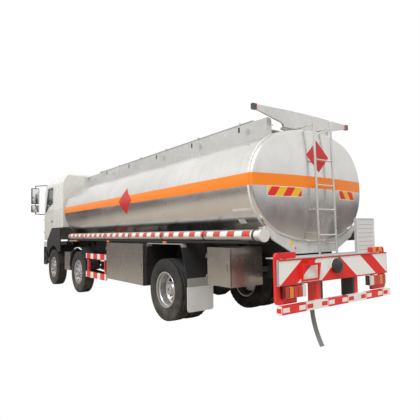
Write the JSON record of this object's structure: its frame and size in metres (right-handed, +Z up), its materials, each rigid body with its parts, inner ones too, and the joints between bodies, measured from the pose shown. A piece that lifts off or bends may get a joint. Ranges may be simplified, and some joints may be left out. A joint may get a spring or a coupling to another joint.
{
  "type": "oil tank truck",
  "caption": "Twin-steer cab-over road tanker with a rounded aluminium tank, side hose tubes, cabinets, rear ladder and hinged cab, doors and lids.",
  "frame": {"origin": "on the ground under the middle of the vehicle's box", "axes": "+X to the front of the vehicle, +Y to its left, +Z up"},
  "size_m": [10.6878, 3.06, 3.3472],
  "materials": {
    "aluminium_shell": "polished aluminium sheet",
    "cab_paint": "off-white gloss paint",
    "chassis_paint": "black chassis paint",
    "red_paint": "red gloss paint with white tape",
    "white_paint": "white gloss paint",
    "dark_trim": "black moulded plastic",
    "grey_interior": "grey cab trim",
    "glass": "tinted glass",
    "tyre": "black rubber tyre",
    "rim": "silver wheel paint",
    "cast_iron": "black painted casting",
    "lamp": "red and amber lenses",
    "steel": "stainless sheet",
    "strap": "grey conductive rubber strap",
    "guard": "black mudguard plastic",
    "flap": "pale grey flap"
  },
  "bodies": {
    "chassis": {"chassis_frame": "chassis_paint", "axles": "cast_iron", "leaf_springs": "chassis_paint", "drive_line": "cast_iron", "cab_mounts": "chassis_paint", "front_bumper": "cab_paint", "tank_shell": "aluminium_shell", "tank_frame": "chassis_paint", "tank_skirt": "white_paint", "tank_coamings": "aluminium_shell", "tank_walkway": "aluminium_shell", "manhole_necks": "aluminium_shell", "rear_ladder": "aluminium_shell", "hose_tubes": "aluminium_shell", "side_guards": "red_paint", "mudguards": "guard", "mud_flaps": "flap", "side_equipment": "chassis_paint", "rear_deck": "white_paint", "rear_board": "red_paint", "rear_guards": "red_paint", "lamps": "lamp", "ground_strap": "strap", "valve_cabinet": "steel", "hose_cabinet": "steel", "tool_cabinet": "steel"},
    "cab": {"cab_shell": "cab_paint", "cab_windscreen": "glass", "cab_interior": "grey_interior", "cab_trim": "dark_trim"},
    "front_steer_left": {"front_knuckle_left": "cast_iron"},
    "front_roller_left": {"front_wheel_left": "rim", "front_tyre_left": "tyre"},
    "front_steer_right": {"front_knuckle_right": "cast_iron"},
    "front_roller_right": {"front_wheel_right": "rim", "front_tyre_right": "tyre"},
    "second_steer_left": {"second_knuckle_left": "cast_iron"},
    "second_roller_left": {"second_wheel_left": "rim", "second_tyre_left": "tyre"},
    "second_steer_right": {"second_knuckle_right": "cast_iron"},
    "second_roller_right": {"second_wheel_right": "rim", "second_tyre_right": "tyre"},
    "rear_roller_left": {"rear_wheel_left": "rim", "rear_tyres_left": "tyre"},
    "door_left": {"cab_door_left": "cab_paint", "door_glass_left": "glass"},
    "folding_rail_left": {"handrail_left": "aluminium_shell"},
    "cap_left": {"tube_cap_left": "white_paint"},
    "rear_roller_right": {"rear_wheel_right": "rim", "rear_tyres_right": "tyre"},
    "door_right": {"cab_door_right": "cab_paint", "door_glass_right": "glass"},
    "folding_rail_right": {"handrail_right": "aluminium_shell"},
    "cap_right": {"tube_cap_right": "white_paint"},
    "lid_1": {"manhole_lid_1": "aluminium_shell"},
    "lid_2": {"manhole_lid_2": "aluminium_shell"},
    "valve_cabinet_leaf": {"valve_cabinet_door": "steel"},
    "hose_cabinet_leaf": {"hose_cabinet_door": "steel"},
    "tool_cabinet_leaf": {"tool_cabinet_door": "steel"}
  },
  "joints": [
    {"name": "cab_tilt", "type": "hinge", "parent": "chassis", "child": "cab", "pos_m": [5.144, 0, 1.25], "axis": [0, 1, 0], "range_deg": [0, 50]},
    {"name": "steer_front_left", "type": "hinge", "parent": "chassis", "child": "front_steer_left", "pos_m": [4.024, 0.9, 0.527], "axis": [0, 0, 1], "range_deg": [-38, 38]},
    {"name": "spin_front_left", "type": "hinge", "parent": "front_steer_left", "child": "front_roller_left", "pos_m": [4.024, 1.05, 0.527], "axis": [0, 1, 0], "continuous": true},
    {"name": "steer_front_right", "type": "hinge", "parent": "chassis", "child": "front_steer_right", "pos_m": [4.024, -0.9, 0.527], "axis": [0, 0, 1], "range_deg": [-38, 38]},
    {"name": "spin_front_right", "type": "hinge", "parent": "front_steer_right", "child": "front_roller_right", "pos_m": [4.024, -1.05, 0.527], "axis": [0, 1, 0], "continuous": true},
    {"name": "steer_second_left", "type": "hinge", "parent": "chassis", "child": "second_steer_left", "pos_m": [1.814, 0.9, 0.527], "axis": [0, 0, 1], "range_deg": [-26.6, 26.6]},
    {"name": "spin_second_left", "type": "hinge", "parent": "second_steer_left", "child": "second_roller_left", "pos_m": [1.814, 1.05, 0.527], "axis": [0, 1, 0], "continuous": true},
    {"name": "steer_second_right", "type": "hinge", "parent": "chassis", "child": "second_steer_right", "pos_m": [1.814, -0.9, 0.527], "axis": [0, 0, 1], "range_deg": [-26.6, 26.6]},
    {"name": "spin_second_right", "type": "hinge", "parent": "second_steer_right", "child": "second_roller_right", "pos_m": [1.814, -1.05, 0.527], "axis": [0, 1, 0], "continuous": true},
    {"name": "spin_rear_left", "type": "hinge", "parent": "chassis", "child": "rear_roller_left", "pos_m": [-2.616, 1.058, 0.527], "axis": [0, 1, 0], "continuous": true},
    {"name": "door_left_hinge", "type": "hinge", "parent": "cab", "child": "door_left", "pos_m": [5.012, 1.204, 1.7], "axis": [0, 0, 1], "range_deg": [-70, 0]},
    {"name": "handrail_left_fold", "type": "hinge", "parent": "chassis", "child": "folding_rail_left", "pos_m": [-2.616, 0.665, 3.109], "axis": [1, 0, 0], "range_deg": [-90, 0]},
    {"name": "tube_cap_left_hinge", "type": "hinge", "parent": "chassis", "child": "cap_left", "pos_m": [-4.968, 1.12, 1.533], "axis": [0, 1, 0], "range_deg": [0, 120]},
    {"name": "spin_rear_right", "type": "hinge", "parent": "chassis", "child": "rear_roller_right", "pos_m": [-2.616, -1.058, 0.527], "axis": [0, 1, 0], "continuous": true},
    {"name": "door_right_hinge", "type": "hinge", "parent": "cab", "child": "door_right", "pos_m": [5.012, -1.204, 1.7], "axis": [0, 0, 1], "range_deg": [0, 70]},
    {"name": "handrail_right_fold", "type": "hinge", "parent": "chassis", "child": "folding_rail_right", "pos_m": [-2.616, -0.665, 3.109], "axis": [1, 0, 0], "range_deg": [0, 90]},
    {"name": "tube_cap_right_hinge", "type": "hinge", "parent": "chassis", "child": "cap_right", "pos_m": [-4.968, -1.12, 1.533], "axis": [0, 1, 0], "range_deg": [0, 120]},
    {"name": "manhole_lid_1_hinge", "type": "hinge", "parent": "chassis", "child": "lid_1", "pos_m": [0.631, 0, 2.996], "axis": [0, 1, 0], "range_deg": [0, 100]},
    {"name": "manhole_lid_2_hinge", "type": "hinge", "parent": "chassis", "child": "lid_2", "pos_m": [-2.669, 0, 2.996], "axis": [0, 1, 0], "range_deg": [0, 100]},
    {"name": "valve_cabinet_door_hinge", "type": "hinge", "parent": "chassis", "child": "valve_cabinet_leaf", "pos_m": [-0.115, 1.202, 0.9065], "axis": [0, 0, 1], "range_deg": [-100, 0]},
    {"name": "hose_cabinet_door_hinge", "type": "hinge", "parent": "chassis", "child": "hose_cabinet_leaf", "pos_m": [-3.86, 1.202, 1], "axis": [0, 0, 1], "range_deg": [-100, 0]},
    {"name": "tool_cabinet_door_hinge", "type": "hinge", "parent": "chassis", "child": "tool_cabinet_leaf", "pos_m": [-0.115, -1.202, 0.9065], "axis": [0, 0, 1], "range_deg": [0, 100]}
  ],
  "couplings": [
    {"joint": "steer_front_right", "follows": "steer_front_left", "ratio": 1},
    {"joint": "steer_second_left", "follows": "steer_front_left", "ratio": 0.7},
    {"joint": "steer_second_right", "follows": "steer_front_left", "ratio": 0.7}
  ]
}
